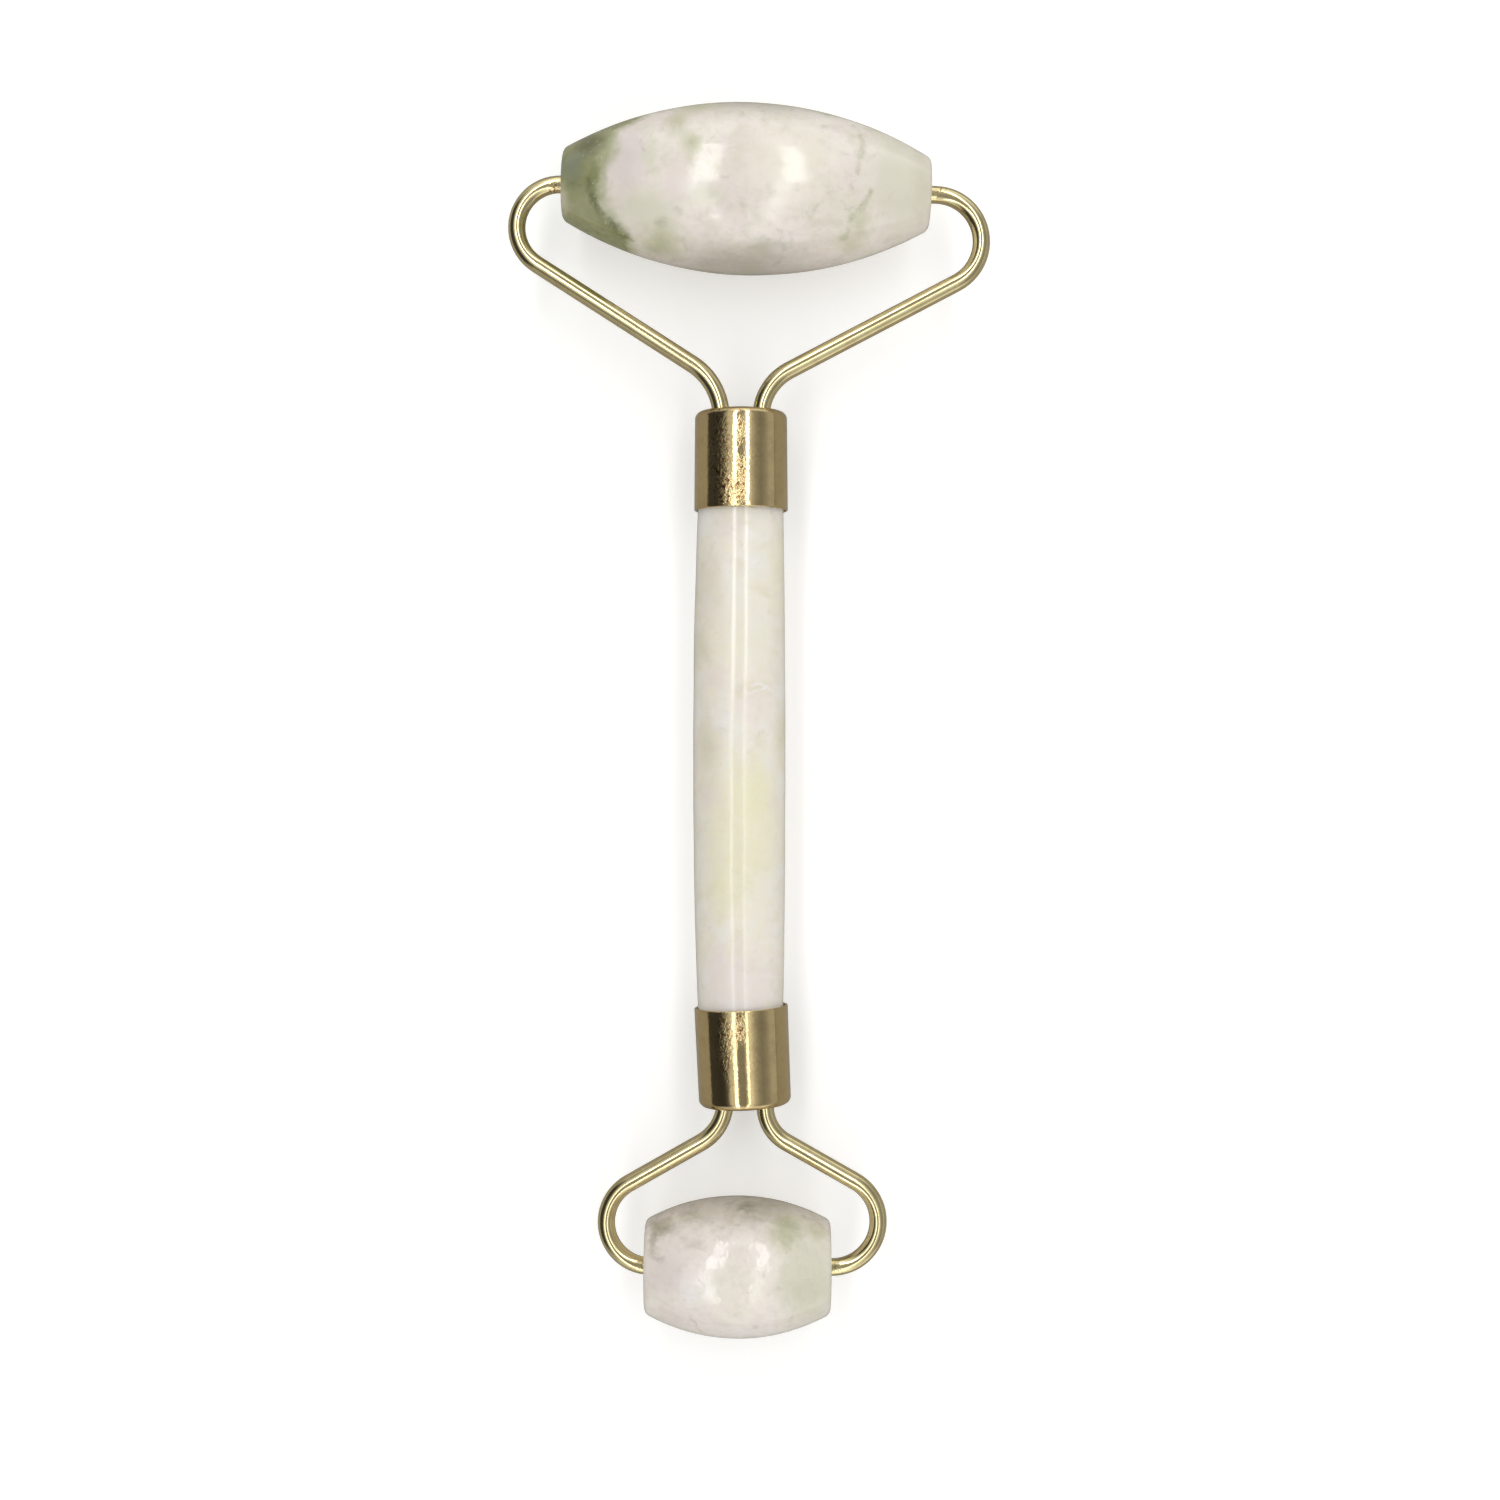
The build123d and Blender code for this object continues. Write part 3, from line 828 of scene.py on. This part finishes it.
def turned_piece(name, outline, middle, along, stone, closed, bow=0.0):
    """A turned, hand-cut piece of stone about a line."""
    half = max(abs(distance) for distance, _ in outline)
    widest = max(radius for _, radius in outline)
    turn = along.to_track_quat("Z", "Y").to_euler()
    mesh = turned_mesh(name, outline, closed, {"Middle": middle, "Turn": turn, "Stone": stone})
    work_by_hand(mesh, middle, along, half, widest, bow)
    face_outwards(mesh)
    mesh.shade_smooth()
    piece = bpy.data.objects.new(name, mesh)
    bpy.context.scene.collection.objects.link(piece)
    return piece


def dress_node(name, material):
    """Gives a kept CAD node its finish."""
    for slot in frame["nodes"][name].material_slots:
        slot.material = material


# ---------------------------------------------------------------- the stones and the handle

def make_stone(name, joint, body, jade):
    """A bored stone, polished, in place of its plain CAD barrel."""
    middle, along = joint_line(joint)
    half, widest, arc, bore = barrel_sizes(name, middle, along)
    outline = stone_outline(half, widest, arc, bore)
    stone = jade(middle, along, widest, arc)
    piece = turned_piece(f"{name}_polished", outline, middle, along, stone, closed=True)
    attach(piece, body)
    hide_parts(name)


def make_handle():
    """The polished handle, in place of its plain CAD bar."""
    middle, along = handle_line()
    half, widest, arc, _ = barrel_sizes("jade_handle", middle, along)
    outline = handle_outline(half, widest, arc)
    stone = handle_jade(middle, along, widest, arc)
    piece = turned_piece("jade_handle_polished", outline, middle, along, stone, closed=False,
                         bow=HANDLE_BOW)
    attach(piece, "handle_frame")
    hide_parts("jade_handle")


make_stone("large_roller_stone", "large_roller_spin", "large_roller", large_stone_jade)
make_stone("small_roller_stone", "small_roller_spin", "small_roller", small_stone_jade)
make_handle()


# ---------------------------------------------------------------- the metal and the hidden pieces

def cup_gold(end_name, wear_and_reflection_tint):
    """One ferrule's plate, with its own spots of wear, which also paint a bronze tint into its
    reflections.
    """
    low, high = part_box(f"{end_name}_ferrule")
    return plated_gold(f"{end_name}_cup_gold", (low + high) / 2, wear_and_reflection_tint)


def wire_gold(end_name):
    """One fork's plate, paler and smoother than the ferrule's, with wear beside its stone."""
    low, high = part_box(f"{end_name}_roller_stone")
    beside = (high.x - low.x) / 2 / MM + WIRE_RUB_BEYOND
    rubbed_and_tinted = [((side * beside, 0, 0), WIRE_RUB_REACH) for side in (-1, 1)]
    return plated_gold(f"{end_name}_wire_gold", (low + high) / 2, rubbed_and_tinted, WIRE_GOLD, gloss=0.12,
                       wear=0.04, grain_depth=0.4)


dress_node("large_ferrule", cup_gold("large", LARGE_CUP_WEAR_AND_REFLECTION_TINT))
dress_node("small_ferrule", cup_gold("small", SMALL_CUP_WEAR_AND_REFLECTION_TINT))
for end_name in ("large", "small"):
    dress_node(f"{end_name}_wire_fork", wire_gold(end_name))
nylon = plain_inner("white_nylon", srgb(226, 224, 214), srgb(206, 203, 190), 0.45)
adhesive = plain_inner("amber_epoxy", srgb(188, 168, 118), srgb(160, 136, 88), 0.2)
braze = plain_inner("dull_braze", srgb(196, 160, 98), srgb(140, 104, 62), 0.4, metallic=1.0)
for end_name in ("large", "small"):
    dress_node(f"{end_name}_fork_braze", braze)
    dress_node(f"{end_name}_ferrule_epoxy", adhesive)
    for side_name in ("left", "right"):
        dress_node(f"{end_name}_roller_bush_{side_name}", nylon)


# ---------------------------------------------------------------- studio

def make_floor():
    """The paper under the roller. Polished things reflect it dimmer than the eye sees it."""
    half = FLOOR_SIZE / 2
    mesh = bpy.data.meshes.new("floor")
    mesh.from_pydata([(-half, -half, 0), (half, -half, 0), (half, half, 0), (-half, half, 0)], [],
                     [(0, 1, 2, 3)])
    floor = bpy.data.objects.new("floor", mesh)
    bpy.context.scene.collection.objects.link(floor)
    material, tree, shader = new_material("pale_paper")
    shader.inputs["Base Color"].default_value = PAPER
    shader.inputs["Roughness"].default_value = 0.9
    shader.inputs["Specular IOR Level"].default_value = 0.0
    dim = add(tree, "ShaderNodeBsdfDiffuse", {"Color": PAPER_REFLECTED})
    paths = add(tree, "ShaderNodeLightPath")
    place = add(tree, "ShaderNodeTexCoord").outputs["Object"]
    distance = vector_calc(tree, "LENGTH", place)
    level = ramp(tree, distance, FLOOR_FADE_START, FLOOR_FADE_END, FLOOR_GLOW, 1.0)
    glow = calc(tree, "MULTIPLY", paths.outputs["Is Camera Ray"], level)
    shader.inputs["Emission Color"].default_value = (1.0, 1.0, 1.0, 1.0)
    tree.links.new(glow, shader.inputs["Emission Strength"])
    mix = add(tree, "ShaderNodeMixShader", {0: paths.outputs["Is Glossy Ray"]})
    tree.links.new(shader.outputs["BSDF"], mix.inputs[1])
    tree.links.new(dim.outputs["BSDF"], mix.inputs[2])
    tree.links.new(mix.outputs["Shader"], tree.nodes["Material Output"].inputs["Surface"])
    mesh.materials.append(material)


def make_world():
    """A room that is brighter on some sides than on others, as the polished metal shows it."""
    world = bpy.data.worlds.new("studio")
    world.use_nodes = True
    bpy.context.scene.world = world
    tree = world.node_tree
    background = tree.nodes["Background"]
    direction = add(tree, "ShaderNodeTexCoord").outputs["Generated"]
    parts = add(tree, "ShaderNodeSeparateXYZ", {"Vector": direction})
    angle = calc(tree, "ARCTAN2", parts.outputs["X"], parts.outputs["Z"])
    share = calc(tree, "ADD", calc(tree, "DIVIDE", angle, 2 * math.pi), 0.5)
    curve = add(tree, "ShaderNodeValToRGB", {"Fac": share})
    stops = curve.color_ramp.elements
    while len(stops) < len(ROOM):
        stops.new(1.0)
    for stop, (degrees, level) in zip(stops, ROOM):
        stop.position = (degrees + 180) / 360
        stop.color = (level, level, level, 1.0)
    endwise = calc(tree, "ABSOLUTE", parts.outputs["Y"])
    ends = ramp(tree, endwise, ROOM_ENDS_START, ROOM_ENDS_FULL, 0.0, ROOM_ENDS)
    room = calc(tree, "ADD", curve.outputs["Color"], ends)
    paths = add(tree, "ShaderNodeLightPath")
    plain = (ROOM_SEEN, ROOM_SEEN, ROOM_SEEN, 1.0)
    seen = blend_colours(tree, paths.outputs["Is Camera Ray"], room, plain)
    tree.links.new(seen, background.inputs["Color"])
    background.inputs["Strength"].default_value = ROOM_STRENGTH


def make_softbox(name, across, lengthwise, radiance):
    """A softbox overhead. It fills the angles across, in degrees to the right of straight up."""
    left, right = (LAMP_HEIGHT * math.tan(math.radians(angle)) for angle in across)
    near, far = lengthwise
    light = bpy.data.lights.new(name, "AREA")
    light.shape = "RECTANGLE"
    light.size = right - left
    light.size_y = far - near
    light.energy = radiance * math.pi * light.size * light.size_y
    lamp = bpy.data.objects.new(name, light)
    lamp.location = ((left + right) / 2, (near + far) / 2, LAMP_HEIGHT)
    lamp.visible_camera = False
    bpy.context.scene.collection.objects.link(lamp)


def make_camera():
    """Looks straight down on the plane of the two forks."""
    small, _ = joint_line("small_roller_spin")
    lean = fork_plane_lean()
    height = small.z + (CAMERA_OVER.y - small.y) * math.tan(lean)
    camera = bpy.data.objects.new("camera", bpy.data.cameras.new("camera"))
    camera.data.lens = CAMERA_LENS
    camera.data.clip_start = CAMERA_NEAREST
    turn = Matrix.Rotation(lean, 4, "X")
    spot = Vector((CAMERA_OVER.x, CAMERA_OVER.y, height)) + turn @ Vector((0, 0, CAMERA_DISTANCE))
    camera.matrix_world = Matrix.Translation(spot) @ turn
    bpy.context.scene.collection.objects.link(camera)
    bpy.context.scene.camera = camera


make_floor()
make_world()
for lamp_name, (across, lengthwise, radiance) in SOFTBOXES.items():
    make_softbox(lamp_name, across, lengthwise, radiance)
make_camera()
bpy.context.scene.view_settings.view_transform = "Standard"
